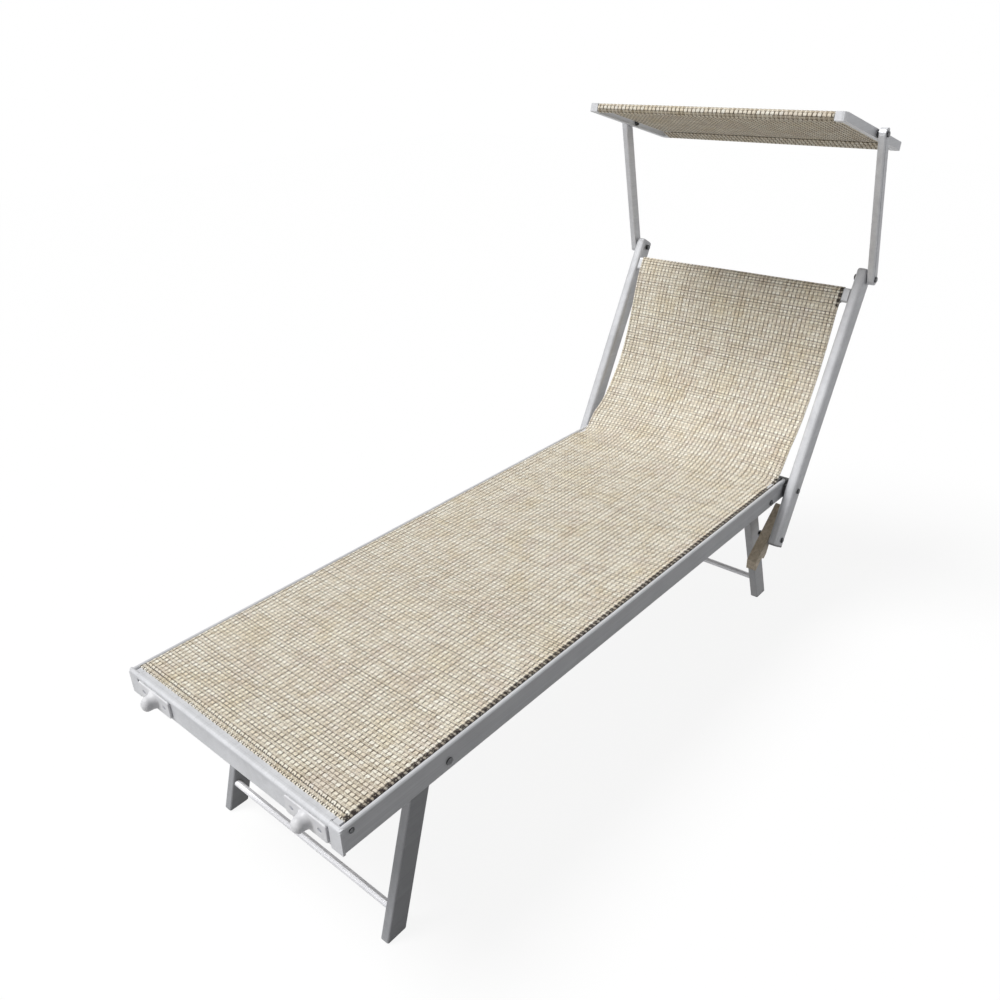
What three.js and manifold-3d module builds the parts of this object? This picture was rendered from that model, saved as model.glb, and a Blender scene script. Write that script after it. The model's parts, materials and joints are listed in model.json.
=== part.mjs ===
// Sun lounger with canopy: a folding aluminium lounger with a woven sling,
// an adjustable back and a sunshade that swings and tilts on two arms.
// Millimetres. x runs across, y from the foot end to the head end, z up.

import * as THREE from "three";
import { mergeVertices, toCreasedNormals } from "three/addons/utils/BufferGeometryUtils.js";
import Module from "manifold-3d";

const wasm = await Module();
wasm.setup();

// Whole lounger
const loungerWidth = 600;
const seatLength = 1435;
const seatHeight = 394;

// Clearances and faceting
const seatGap = 0.3;
const holeClearance = 0.3;
const overrun = 5;
const creaseAngle = THREE.MathUtils.degToRad(32);
const cornerSteps = 3;
const wrapSteps = 8;
const roundSteps = 14;
const hexSides = 6;

// Seat frame section: an extrusion with a bead along its top edge and a channel for the sling
const railWidth = 28;
const railHeight = 51.5;
const railWall = 1.6;
const railCorner = 1.5;
const beadSize = 10;
const faceRecess = 2.5;
const channelWidth = 3;
const channelDepth = 6;
const shoulderDrop = 2;
const endPlate = 3;

// Cross members under the sling
const middleBarPlace = 800;
const middleBarRadius = 11;
const middleBarWall = 1.5;
const middleBarDrop = 34;
const rearBarInset = 34;
const rearBarDepth = 22;
const rearBarHeight = 26;
const rearBarDrop = 18;
const rearBarCorner = 3;
const rearBarWall = 1.6;

// Fasteners
const boltRadius = 4;
const headRadius = 7;
const headHeight = 4.5;
const nutRadius = 7.5;
const nutHeight = 6;
const sleeveRadius = 8;
const smallBoltRadius = 3;
const smallHeadRadius = 5;
const smallHeadHeight = 3.5;
const cornerBoltPlace = 22;
const cornerBoltDrop = 15.5;
const cornerBoltLength = 42;

// Hooks at the foot end
const hookInset = 83;
const hookWidth = 102;
const hookHeight = 36;
const hookThickness = 4.5;
const hookCorner = 5;
const hookBaseRadius = 17;
const hookTipRadius = 11.5;
const hookReach = 25;
const hookScrewSpacing = 68;
const hookScrewRadius = 2;
const hookScrewHead = 4;
const hookScrewSink = 2;
const hookScrewLength = 16;

// Legs
const legGap = 23.5;
const legThickness = 20;
const legWidth = 43;
const legCorner = 3.5;
const legWall = 1.5;
const footCapHeight = 5;
const footCapPlug = 14;
const crossTubeRadius = 7;
const crossTubeWall = 1.3;
const frontLegPlace = 228;
const frontLegBoltDrop = 34;
const frontLegLean = -17.25;
const frontTubeRise = 60;
const frontTubeShift = 11.5;
const rearLegInset = 66;
const rearLegBoltDrop = 39.5;
const rearLegLean = 18.8;
const rearTubeRise = 74.5;
const rearTubeShift = 8;

// Back frame
const hingeReach = 10;
const hingeDrop = 28;
const backAngle = 61.2;
const backRailGap = 5;
const backRailWidth = 26;
const backRailDepth = 44;
const backRailCorner = 8;
const backRailWall = 1.8;
const backRailUp = 554;
const backRailDown = 143;
const domeHeight = 9;
const domeRounding = 6;
const domePlug = 4;
const endCapThickness = 4;
const endCapPlug = 8;
const topBarUp = 493;
const topBarSet = -11.6;
const topBarHeight = 36;
const topBarDepth = 13;
const topBarWall = 1.5;
const hingeEyeRadius = 19;
const hingeFlange = 4;
const hingePlug = 30;

// Toothed props on the low bolts of the back frame
const propDown = 128.5;
const propWidth = 25;
const propGap = 4;
const propSlope = 38;
const propReachDown = 80;
const propTopReach = 90;
const propThickness = 20;
const propAxisDepth = 6.5;
const propEndHeight = 26;
const toothDepth = 12;
const toothPitch = 44;
const toothStart = 58;
const toothCount = 3;
const tipStartShare = 0.12;
const tipEndShare = 0.45;
const propCorner = 2;

// Canopy arms
const armPivotUp = 544;
const armGap = 2;
const armThickness = 16;
const armWidth = 28;
const armCorner = 3;
const armWall = 1.5;
const armOuterWall = 3;
const armGrooveWidth = 2.5;
const armGrooveDepth = 1.2;
const armGrooveInset = 6;
const armLean = 10.9;
const armSpan = 343.7;
const spacerRadius = 9;

// Canopy frame
const canopyGap = 6;
const canopyDepth = 370;
const canopyPivotShift = 12.4;
const canopyPivotRise = -0.3;
const canopyTilt = 15.45;
const canopyRailWidth = 14;
const canopyRailHeight = 19;
const canopyRailCorner = 10;
const canopyRailWall = 1.5;
const canopyElbow = 11;
const canopyElbowDepth = 20;
const canopyBarRadius = 8.5;
const canopyBarWall = 1.3;
const canopyBarInset = 10.5;

// Fabric
const fabricThickness = 1.4;
const seatSag = 6;
const sagRun = 160;
const seatSlingFootGap = 8;
const backSlingGap = 20;
const slingTuck = 48.5;
const canopyFabricEdgeGap = 1;
const canopySag = 4;
const hemReach = 30;
const hemGap = 0.6;

// How the sling leaves the seat and climbs behind the sitter's hips, to the foot of the top bar:
// distance up the back rails as a share of that climb, and distance in front of them (behind them
// where it is below zero) as a share of the tuck
const turnUpShares = [[0.0114, 1], [0.027, 0.948], [0.0478, 0.887], [0.0686, 0.814]];
const backSlingShares = [
  [0.108, 0.722],
  [0.141, 0.577],
  [0.187, 0.392],
  [0.245, 0.206],
  [0.312, 0.041],
  [0.395, -0.082],
  [0.489, -0.144],
  [0.593, -0.124],
  [0.707, -0.02],
  [0.821, 0.144],
  [0.915, 0.289],
];

// Colours and finishes
const aluminium = { color: 0xd9dadc, roughness: 0.38, metalness: 0.85 };
const whitePlastic = { color: 0xe9e9e6, roughness: 0.5, metalness: 0 };
const greyPlastic = { color: 0x9c9d9f, roughness: 0.6, metalness: 0 };
const blackPlastic = { color: 0x26272a, roughness: 0.55, metalness: 0 };
const tanPlastic = { color: 0x8c7d64, roughness: 0.6, metalness: 0 };
const chrome = { color: 0xc8cacd, roughness: 0.18, metalness: 1 };
const slingFabric = { color: 0xd8c9a5, roughness: 0.85, metalness: 0 };

// Places worked out from the driving sizes
const radians = THREE.MathUtils.degToRad;
const railInner = loungerWidth / 2 - railWidth;
const railFace = loungerWidth / 2 - faceRecess;
const railBottom = seatHeight - railHeight;
const shoulderHeight = seatHeight - shoulderDrop;
const slingLevel = shoulderHeight + seatGap + fabricThickness / 2;
const slingHalfWidth = loungerWidth / 2 - beadSize - seatGap;
const hookPlace = loungerWidth / 2 - hookInset;
const legOuter = railInner - legGap;
const legInner = legOuter - legThickness;
const hingePlace = seatLength + hingeReach;
const hingeHeight = seatHeight - hingeDrop;
const backRailInner = loungerWidth / 2 + backRailGap;
const backRailOuter = backRailInner + backRailWidth;
const backLean = radians(90 - backAngle);
const slingClimb = topBarUp - topBarHeight / 2;
const armInner = backRailOuter + armGap;
const armOuter = armInner + armThickness;
const canopyRailOuter = armInner - canopyGap;
const canopyRailInner = canopyRailOuter - canopyRailWidth;
const propOuter = backRailInner - propGap;
const propInner = propOuter - propWidth;

function legKind(place, boltDrop, lean, tubeRise, tubeShift) {
  const height = seatHeight - boltDrop;
  const tubeDrop = height / Math.cos(radians(lean)) - tubeRise;
  return { place, height, lean, tubeDrop, tubeShift };
}

const frontLeg = legKind(frontLegPlace, frontLegBoltDrop, frontLegLean, frontTubeRise, -frontTubeShift);
const rearLeg = legKind(seatLength - rearLegInset, rearLegBoltDrop, rearLegLean, rearTubeRise, -rearTubeShift);

// Solids and meshes
function closed(geometry) {
  const bare = geometry.clone();
  bare.deleteAttribute("normal");
  bare.deleteAttribute("uv");
  return outward(mergeVertices(bare));
}

function outward(geometry) {
  const position = geometry.attributes.position;
  const index = geometry.index.array;
  const corner = [0, 1, 2].map(() => new THREE.Vector3());
  let volume = 0;
  for (let i = 0; i < index.length; i += 3) {
    corner.forEach((point, k) => point.fromBufferAttribute(position, index[i + k]));
    volume += corner[0].dot(corner[1].cross(corner[2]));
  }
  if (volume < 0) {
    for (let i = 0; i < index.length; i += 3) {
      const first = index[i];
      index[i] = index[i + 1];
      index[i + 1] = first;
    }
  }
  return geometry;
}

function toSolid(geometry) {
  const shape = closed(geometry);
  return new wasm.Manifold(new wasm.Mesh({
    numProp: 3,
    vertProperties: new Float32Array(shape.attributes.position.array),
    triVerts: new Uint32Array(shape.index.array),
  }));
}

function toGeometry(solid) {
  const mesh = solid.getMesh();
  const geometry = new THREE.BufferGeometry();
  geometry.setAttribute("position", new THREE.BufferAttribute(mesh.vertProperties, mesh.numProp));
  geometry.setIndex(new THREE.BufferAttribute(mesh.triVerts, 1));
  return geometry;
}

function join(...pieces) {
  return toGeometry(pieces.map(toSolid).reduce((sum, piece) => sum.add(piece)));
}

function cut(piece, ...tools) {
  return toGeometry(tools.map(toSolid).reduce((rest, tool) => rest.subtract(tool), toSolid(piece)));
}

function overlap(first, second) {
  return toGeometry(toSolid(first).intersect(toSolid(second)));
}

function mirrored(geometry) {
  return outward(closed(geometry).scale(-1, 1, 1));
}

function addPiece(parent, name, geometry, look) {
  const mesh = new THREE.Mesh(
    toCreasedNormals(closed(geometry), creaseAngle),
    new THREE.MeshStandardMaterial({ ...look, name }),
  );
  mesh.name = name;
  parent.add(mesh);
}

function addPair(parent, name, geometry, look) {
  addPiece(parent, `${name}_right`, geometry, look);
  addPiece(parent, `${name}_left`, mirrored(geometry), look);
}

function addGroup(parent, place, height, lean) {
  const group = new THREE.Group();
  group.position.set(0, place, height);
  group.rotation.x = lean;
  parent.add(group);
  return group;
}

// Outlines: each point is x, y and how far its rounding reaches along both sides
function outline(points) {
  const corners = points.map(([x, y, reach = 0]) => ({ at: new THREE.Vector2(x, y), reach }));
  const ring = corners.flatMap(({ at, reach }, i) => {
    if (reach <= 0) {
      return [at];
    }
    const before = corners.at(i - 1).at.clone().sub(at).normalize();
    const after = corners[(i + 1) % corners.length].at.clone().sub(at).normalize();
    const inward = before.clone().add(after).multiplyScalar(reach / (1 + before.dot(after)));
    const start = before.multiplyScalar(reach).sub(inward);
    const end = after.multiplyScalar(reach).sub(inward);
    const turn = Math.atan2(start.cross(end), start.dot(end));
    const centre = at.clone().add(inward);
    return arc(centre.x, centre.y, start.length(), start.angle(), start.angle() + turn, cornerSteps);
  });
  return new THREE.Shape(ring);
}

function rectangle(x0, x1, y0, y1, radius = 0) {
  return outline([[x0, y0, radius], [x1, y0, radius], [x1, y1, radius], [x0, y1, radius]]);
}

function hollow(shape, hole) {
  shape.holes.push(hole);
  return shape;
}

// Extrusions along each axis, and turned pieces along x
function extruded(shape, length, across, up, along, options = {}) {
  const geometry = new THREE.ExtrudeGeometry(shape, {
    depth: length,
    bevelEnabled: false,
    curveSegments: cornerSteps,
    ...options,
  });
  return geometry.applyMatrix4(new THREE.Matrix4().makeBasis(across, up, along));
}

const xAxis = new THREE.Vector3(1, 0, 0);
const yAxis = new THREE.Vector3(0, 1, 0);
const zAxis = new THREE.Vector3(0, 0, 1);

function alongX(shape, x0, x1) {
  return extruded(shape, x1 - x0, yAxis, zAxis, xAxis).translate(x0, 0, 0);
}

function alongY(shape, y0, y1) {
  return extruded(shape, y1 - y0, xAxis, zAxis, yAxis.clone().negate()).translate(0, y1, 0);
}

function alongZ(shape, z0, z1, options) {
  return extruded(shape, z1 - z0, xAxis, yAxis, zAxis, options).translate(0, 0, z0);
}

function turned(profile, y, z) {
  const points = profile.map(([x, radius]) => new THREE.Vector2(radius, x));
  return new THREE.LatheGeometry(points, roundSteps).rotateZ(-Math.PI / 2).translate(0, y, z);
}

function rod(x0, x1, radius, y, z) {
  return turned([[x0, 0], [x0, radius], [x1, radius], [x1, 0]], y, z);
}

function tube(x0, x1, radius, wall, y, z) {
  const inside = radius - wall;
  return turned([[x0, inside], [x0, radius], [x1, radius], [x1, inside], [x0, inside]], y, z);
}

// A bolt along x: a domed head against the outer face, an optional sleeve and a hexagon nut
function bolt({ face, end, y, z, sleeve, nut, radius = boltRadius, head = headRadius, dome = headHeight }) {
  const headBase = face + seatGap;
  const flankShare = 0.45;
  const crownShares = [[0.75, 0.87], [0.95, 0.5]];
  const profile = [[end, 0], [end, radius]];
  if (sleeve) {
    const [from, to] = sleeve;
    profile.push([from, radius], [from, sleeveRadius], [to, sleeveRadius], [to, radius]);
  }
  profile.push([headBase, radius], [headBase, head], [headBase + dome * flankShare, head]);
  crownShares.forEach(([rise, spread]) => profile.push([headBase + dome * rise, head * spread]));
  profile.push([headBase + dome, 0]);
  const shank = turned(profile, y, z);
  if (nut === undefined) {
    return shank;
  }
  const hexagon = new THREE.CylinderGeometry(nutRadius, nutRadius, nutHeight, hexSides);
  hexagon.rotateZ(-Math.PI / 2).translate(nut - seatGap - nutHeight / 2, y, z);
  return join(shank, hexagon);
}

function boltHole(x0, x1, y, z, radius = boltRadius) {
  return rod(x0 - overrun, x1 + overrun, radius + holeClearance, y, z);
}

// A sheet of cloth: a line of points in the y-z plane carried across the width
function clothSheet(line, columns, lift = () => 0) {
  const half = fabricThickness / 2;
  const across = columns.length;
  const positions = [];
  const faces = [];
  const side = line.map((point, i) => {
    const before = line[Math.max(i - 1, 0)];
    const after = line[Math.min(i + 1, line.length - 1)];
    const run = after.clone().sub(before).normalize();
    return new THREE.Vector2(-run.y, run.x);
  });
  [half, -half].forEach((offset) => {
    line.forEach((point, i) => {
      columns.forEach((x) => {
        positions.push(x, point.x + side[i].x * offset, point.y + side[i].y * offset + lift(x, point));
      });
    });
  });
  const layer = line.length * across;
  const quad = (a, b, c, d) => faces.push(a, b, c, a, c, d);
  for (let i = 0; i < line.length - 1; i += 1) {
    for (let k = 0; k < across - 1; k += 1) {
      const a = i * across + k;
      quad(a, a + 1, a + across + 1, a + across);
      quad(layer + a, layer + a + across, layer + a + across + 1, layer + a + 1);
    }
  }
  const rim = [];
  for (let k = 0; k < across - 1; k += 1) rim.push(k);
  for (let i = 0; i < line.length - 1; i += 1) rim.push(i * across + across - 1);
  for (let k = across - 1; k > 0; k -= 1) rim.push((line.length - 1) * across + k);
  for (let i = line.length - 1; i > 0; i -= 1) rim.push(i * across);
  rim.forEach((a, i) => {
    const b = rim[(i + 1) % rim.length];
    quad(a, layer + a, layer + b, b);
  });
  const geometry = new THREE.BufferGeometry();
  geometry.setAttribute("position", new THREE.Float32BufferAttribute(positions, 3));
  geometry.setIndex(faces);
  return geometry;
}

function evenColumns(halfWidth, count) {
  return Array.from({ length: count + 1 }, (_, i) => -halfWidth + (2 * halfWidth * i) / count);
}

function smoothLine(points, count) {
  return new THREE.SplineCurve(points).getPoints(count);
}

// The last turn of a hem round a bar, clockwise from an angle, then straight to where it is sewn
function wrapEnd(centre, radius, from, sewn) {
  const away = sewn.clone().sub(centre);
  const leaving = away.angle() - 2 * Math.PI + Math.acos(radius / away.length());
  return [...arc(centre.x, centre.y, radius, from, leaving, wrapSteps), sewn];
}

function arc(centreX, centreY, radius, from, to, count) {
  return Array.from({ length: count + 1 }, (_, i) => {
    const angle = from + ((to - from) * i) / count;
    return new THREE.Vector2(centreX + radius * Math.cos(angle), centreY + radius * Math.sin(angle));
  });
}

// Seat frame section, with u outward from the inner face and w up from the bottom; the foot crossbar has
// a plain shoulder where the rails have the channel
function railSection(plain = false) {
  const face = railWidth - faceRecess;
  const beadFoot = railHeight - beadSize;
  const beadInner = railWidth - beadSize;
  const channelInner = beadInner - channelWidth;
  const shoulder = railHeight - shoulderDrop;
  const channelFloor = shoulder - channelDepth;
  const channel = [[beadInner, channelFloor], [channelInner, channelFloor], [channelInner, shoulder]];
  const channelInside = [
    [beadInner + railWall, channelFloor - railWall],
    [channelInner - railWall, channelFloor - railWall],
    [channelInner - railWall, shoulder - railWall],
  ];
  const outside = outline([
    [0, 0, railCorner],
    [face, 0, railCorner],
    [face, beadFoot],
    [railWidth, beadFoot, faceRecess],
    [railWidth, railHeight, beadSize / 2],
    [beadInner, railHeight, plain ? shoulderDrop / 2 : beadSize / 2],
    ...(plain ? [[beadInner, shoulder]] : channel),
    [0, shoulder, railCorner],
  ]);
  const inside = outline([
    [railWall, railWall],
    [face - railWall, railWall],
    [face - railWall, beadFoot + railWall],
    [railWidth - railWall, beadFoot + railWall],
    [railWidth - railWall, railHeight - railWall, beadSize / 2 - railWall],
    [beadInner + railWall, railHeight - railWall, plain ? 0 : beadSize / 2 - railWall],
    ...(plain ? [[beadInner + railWall, shoulder - railWall]] : channelInside),
    [railWall, shoulder - railWall],
  ]);
  return hollow(outside, inside);
}

function seatRail() {
  const body = alongY(railSection(), endPlate, seatLength).translate(railInner, 0, railBottom);
  const half = beadSize / 2;
  const plate = alongY(
    rectangle(railInner, loungerWidth / 2, railBottom, seatHeight - half, railCorner),
    0,
    endPlate + railWall,
  );
  const beadRun = alongX(
    rectangle(0, beadSize, seatHeight - beadSize, seatHeight, half),
    railInner,
    loungerWidth / 2,
  );
  const beadPlan = alongZ(
    outline([
      [railInner, 0],
      [loungerWidth / 2, 0, half],
      [loungerWidth / 2, beadSize],
      [railInner, beadSize],
    ]),
    railBottom,
    seatHeight,
  );
  const through = (place, height, radius) => boltHole(railInner, loungerWidth / 2, place, height, radius);
  return cut(
    join(body, plate, overlap(beadRun, beadPlan)),
    through(cornerBoltPlace, seatHeight - cornerBoltDrop, smallBoltRadius),
    through(frontLeg.place, frontLeg.height),
    through(rearLeg.place, rearLeg.height),
  );
}

function footCrossbar() {
  const half = railInner - seatGap;
  const section = railSection(true);
  const bar = extruded(section, 2 * half, yAxis.clone().negate(), zAxis, xAxis.clone().negate());
  bar.translate(half, railWidth, railBottom);
  const screwPlaces = hookScrewPlaces().flatMap((x) => [x, -x]);
  const screwHoles = screwPlaces.map((x) => hookScrewTool(x, hookScrewRadius + holeClearance));
  return cut(bar, ...screwHoles);
}

function middleCrossbar() {
  const half = railInner - seatGap;
  return tube(-half, half, middleBarRadius, middleBarWall, middleBarPlace, seatHeight - middleBarDrop);
}

function rearCrossbar() {
  const half = railInner - seatGap;
  const top = seatHeight - rearBarDrop;
  const front = seatLength - rearBarInset;
  const back = front + rearBarDepth;
  const bottom = top - rearBarHeight;
  const section = hollow(
    rectangle(front, back, bottom, top, rearBarCorner),
    rectangle(
      front + rearBarWall,
      back - rearBarWall,
      bottom + rearBarWall,
      top - rearBarWall,
      rearBarCorner - rearBarWall,
    ),
  );
  return alongX(section, -half, half);
}

// Bracket that closes the rear end of a seat rail and carries the hinge bolt
function hingeBracket() {
  const front = seatLength + seatGap;
  const outer = backRailInner - seatGap;
  const plateInner = loungerWidth / 2 + seatGap;
  const top = seatHeight - shoulderDrop;
  const block = alongX(
    outline([
      [front, railBottom, railCorner],
      [hingePlace, railBottom],
      [hingePlace + hingeEyeRadius, railBottom, hingeEyeRadius - railCorner],
      [hingePlace + hingeEyeRadius, top, hingeEyeRadius],
      [front, top, railCorner],
    ]),
    railInner,
    outer,
  );
  const disc = rod(plateInner, outer, hingeEyeRadius, hingePlace, hingeHeight);
  const plugBack = front + hingeFlange;
  const plug = alongY(
    rectangle(
      railInner + railWall + seatGap,
      railFace - railWall - seatGap,
      railBottom + railWall + seatGap,
      seatHeight - shoulderDrop - channelDepth - railWall - seatGap,
    ),
    seatLength - hingePlug,
    plugBack,
  );
  return cut(join(block, disc, plug), boltHole(railInner, outer, hingePlace, hingeHeight));
}

// Hooks on the face of the foot crossbar
function hookScrewPlaces() {
  return [hookPlace - hookScrewSpacing / 2, hookPlace + hookScrewSpacing / 2];
}

function hookMiddle() {
  return seatHeight - beadSize - seatGap - hookHeight / 2;
}

function hookScrewTool(x, radius) {
  const length = hookScrewLength + hookThickness + overrun;
  const tool = rod(-length, length, radius, 0, 0);
  return tool.rotateZ(Math.PI / 2).translate(x, 0, hookMiddle());
}

function footHook() {
  const back = faceRecess - seatGap;
  const front = back - hookThickness;
  const middle = hookMiddle();
  const plate = alongY(
    rectangle(
      hookPlace - hookWidth / 2,
      hookPlace + hookWidth / 2,
      middle - hookHeight / 2,
      middle + hookHeight / 2,
      hookCorner,
    ),
    front,
    back,
  );
  const tipCentre = hookReach - hookTipRadius;
  const tip = arc(tipCentre, 0, hookTipRadius, Math.PI / 2, 0, cornerSteps + 1).map(({ x, y }) => [x, y]);
  tip[tip.length - 1][1] = 0;
  const horn = turned([[-hookThickness / 2, 0], [-hookThickness / 2, hookBaseRadius], [0, hookBaseRadius], ...tip], 0, 0);
  horn.rotateZ(-Math.PI / 2).translate(hookPlace, front, middle);
  const holes = hookScrewPlaces().map((x) => hookScrewTool(x, hookScrewRadius + holeClearance));
  const sinks = hookScrewPlaces().map((x) => {
    const sink = rod(0, hookScrewSink + overrun, hookScrewHead + holeClearance, 0, 0);
    return sink.rotateZ(-Math.PI / 2).translate(x, front + hookScrewSink, middle);
  });
  return cut(join(plate, horn), ...holes, ...sinks);
}

function hookScrew(x) {
  const base = faceRecess - seatGap - hookThickness + hookScrewSink - seatGap;
  const rise = hookScrewSink - seatGap;
  const crownShare = 0.6;
  const profile = [
    [-hookScrewLength, 0],
    [-hookScrewLength, hookScrewRadius],
    [0, hookScrewRadius],
    [0, hookScrewHead],
    [rise * crownShare, hookScrewHead],
    [rise, hookScrewHead * crownShare],
    [rise, 0],
  ];
  return turned(profile, 0, 0).rotateZ(-Math.PI / 2).translate(x, base, hookMiddle());
}

// Sling over the seat: level on the shoulders, sagging between the rails, turned up at the rear
function slingPoint([upShare, tuckShare]) {
  return new THREE.Vector2(-tuckShare * slingTuck, upShare * slingClimb);
}

function onBack(shares) {
  const turn = radians(backAngle) - Math.PI / 2;
  return slingPoint(shares).rotateAround(new THREE.Vector2(), turn).add(new THREE.Vector2(hingePlace, hingeHeight));
}

function seatSling() {
  const footEdge = beadSize + seatSlingFootGap;
  const climb = turnUpShares.map(onBack);
  const climbFoot = climb[0].x - railWidth / 2;
  const levelShares = [0, 0.02, 0.06, 0.12, 0.25, 0.5, 0.75, 0.88, 0.95, 1];
  const level = levelShares.map((share) => {
    return new THREE.Vector2(footEdge + share * (climbFoot - footEdge), slingLevel);
  });
  const inside = railInner - seatGap;
  const columnShares = [-1, -0.85, -0.6, -0.3, 0, 0.3, 0.6, 0.85, 1];
  const columns = [-slingHalfWidth, ...columnShares.map((share) => share * inside), slingHalfWidth];
  const easeIn = (distance) => THREE.MathUtils.smoothstep(distance, 0, sagRun);
  const sag = (x, point) => {
    const spread = Math.max(1 - (x / inside) ** 2, 0);
    return -seatSag * spread * easeIn(point.x - railWidth) * easeIn(climbFoot - point.x);
  };
  return clothSheet([...level, ...climb], columns, sag);
}

// Legs, drawn upright below their pivot and leaned by their group
function legProfile({ height }, inset) {
  const half = legWidth / 2 - inset;
  const length = 2 * height;
  const side = alongX(
    outline([[-half, -length], [half, -length], [half, half, half], [-half, half, half]]),
    legInner + inset,
    legOuter - inset,
  );
  const plan = alongZ(
    rectangle(legInner + inset, legOuter - inset, -half, half, legCorner - inset),
    -length,
    half,
  );
  return overlap(side, plan);
}

function slab({ height, lean }, z0, z1) {
  const reach = 2 * (legOuter + height);
  const block = new THREE.BoxGeometry(reach, reach, z1 - z0);
  return block.translate(0, 0, (z0 + z1) / 2 - height).rotateX(-radians(lean));
}

function leg(kind) {
  const below = slab(kind, -kind.height, footCapHeight + seatGap);
  const bore = boltHole(legInner, legOuter, 0, 0);
  return cut(legProfile(kind, 0), legProfile(kind, legWall), bore, below);
}

function footCap(kind) {
  const shoe = overlap(legProfile(kind, 0), slab(kind, 0, footCapHeight));
  const plug = overlap(legProfile(kind, legWall + seatGap), slab(kind, 0, footCapHeight + footCapPlug));
  return join(shoe, plug);
}

function crossTube({ tubeDrop, tubeShift }) {
  const half = legInner - seatGap;
  return tube(-half, half, crossTubeRadius, crossTubeWall, tubeShift, -tubeDrop);
}

function addLegs(parent, kind, name) {
  const group = addGroup(parent, kind.place, kind.height, radians(kind.lean));
  addPair(group, `${name}_leg`, leg(kind), aluminium);
  addPair(group, `${name}_foot_cap`, footCap(kind), whitePlastic);
  addPiece(group, `${name}_cross_tube`, crossTube(kind), aluminium);
}

function legBolt({ place, height }) {
  return bolt({
    face: railFace,
    end: legInner - seatGap - nutHeight,
    y: place,
    z: height,
    sleeve: [legOuter + seatGap, railInner - seatGap],
    nut: legInner,
  });
}

// Back frame, drawn upright above its hinge
function backSection(inset) {
  return rectangle(
    backRailInner + inset,
    backRailOuter - inset,
    inset - backRailDepth / 2,
    backRailDepth / 2 - inset,
    backRailCorner - inset,
  );
}

function backRail() {
  const body = alongZ(hollow(backSection(0), backSection(backRailWall)), -backRailDown, backRailUp);
  const through = (height) => boltHole(backRailInner, backRailOuter, 0, height);
  return cut(body, through(0), through(armPivotUp), through(-propDown));
}

function backTopCap() {
  const base = backRailUp + seatGap;
  const rounded = alongZ(backSection(0), -domeHeight, domeHeight - domeRounding, {
    bevelEnabled: true,
    bevelThickness: domeRounding,
    bevelSize: domeRounding,
    bevelOffset: -domeRounding,
    bevelSegments: cornerSteps,
  });
  const keep = alongZ(
    rectangle(backRailInner - overrun, backRailOuter + overrun, -backRailDepth, backRailDepth),
    0,
    domeHeight,
  );
  const plug = alongZ(backSection(backRailWall + seatGap), -domePlug, domeHeight - domeRounding);
  return join(overlap(rounded, keep), plug).translate(0, 0, base);
}

function backEndCap() {
  const top = -backRailDown - seatGap;
  const lid = alongZ(backSection(0), top - endCapThickness, top);
  const plug = alongZ(backSection(backRailWall + seatGap), top - endCapThickness / 2, top + endCapPlug);
  return join(lid, plug);
}

function topBarSection(inset) {
  const halfDepth = topBarDepth / 2 - inset;
  const halfHeight = topBarHeight / 2 - inset;
  return rectangle(
    topBarSet - halfDepth,
    topBarSet + halfDepth,
    topBarUp - halfHeight,
    topBarUp + halfHeight,
    halfDepth,
  );
}

function backTopBar() {
  const half = backRailInner - seatGap;
  return alongX(hollow(topBarSection(0), topBarSection(topBarWall)), -half, half);
}

// Sling on the back: up the front of the top bar, over it and back to its own hem
function backSling() {
  const roll = topBarDepth / 2;
  const wrap = roll + seatGap + fabricThickness / 2;
  const barTop = topBarUp + topBarHeight / 2;
  const barFoot = topBarUp - topBarHeight / 2;
  const frontSet = topBarSet - wrap;
  const over = arc(topBarSet, barTop - roll, wrap, Math.PI, 0, wrapSteps);
  const sewn = new THREE.Vector2(frontSet + fabricThickness + hemGap, barFoot - hemReach);
  const under = wrapEnd(new THREE.Vector2(topBarSet, barFoot + roll), wrap, 0, sewn);
  const climb = backSlingShares.map(slingPoint);
  const front = smoothLine([...climb, new THREE.Vector2(frontSet, barFoot)], 2 * climb.length);
  return clothSheet([...front, ...over, ...under], evenColumns(backRailInner - backSlingGap, 4));
}

function backBolt(height, extra) {
  return bolt({ face: backRailOuter, y: 0, z: height, ...extra });
}

// Toothed prop, drawn along z about its pivot with its smooth face to the front and a low end
// that is cut upright
function prop() {
  const front = -propAxisDepth;
  const root = front + propThickness;
  const tip = root + toothDepth;
  const slope = radians(propSlope);
  const endRear = front + propEndHeight * Math.cos(slope);
  const endFoot = -propReachDown - propEndHeight * Math.sin(slope);
  const teeth = Array.from({ length: toothCount }, (_, i) => i * toothPitch - toothStart);
  const rear = teeth.flatMap((foot) => [
    [root, foot],
    [tip, foot + toothPitch * tipStartShare, propCorner],
    [tip, foot + toothPitch * tipEndShare, propCorner],
  ]);
  const side = outline([
    [front, -propReachDown, propCorner],
    [endRear, endFoot, propCorner],
    ...rear,
    [root, propTopReach, propThickness / 2],
    [front, propTopReach, propCorner],
  ]);
  return cut(alongX(side, propInner, propOuter), boltHole(propInner, propOuter, 0, 0));
}

// Canopy arms, drawn upright above their lower pivot
function arm() {
  const half = armWidth / 2;
  const low = -half;
  const high = armSpan + half;
  const side = alongX(
    outline([[-half, low, half], [half, low, half], [half, high, half], [-half, high, half]]),
    armInner,
    armOuter,
  );
  const plan = alongZ(rectangle(armInner, armOuter, -half, half, armCorner), low, high);
  const core = alongZ(
    rectangle(armInner + armWall, armOuter - armOuterWall, armWall - half, half - armWall),
    0,
    armSpan,
  );
  const grooveFront = armGrooveInset - half;
  const groove = alongZ(
    rectangle(armOuter - armGrooveDepth, armOuter + overrun, grooveFront, grooveFront + armGrooveWidth),
    low - overrun,
    high + overrun,
  );
  const holes = [0, armSpan].map((height) => boltHole(armInner, armOuter, 0, height));
  return cut(overlap(side, plan), core, groove, ...holes);
}

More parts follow.
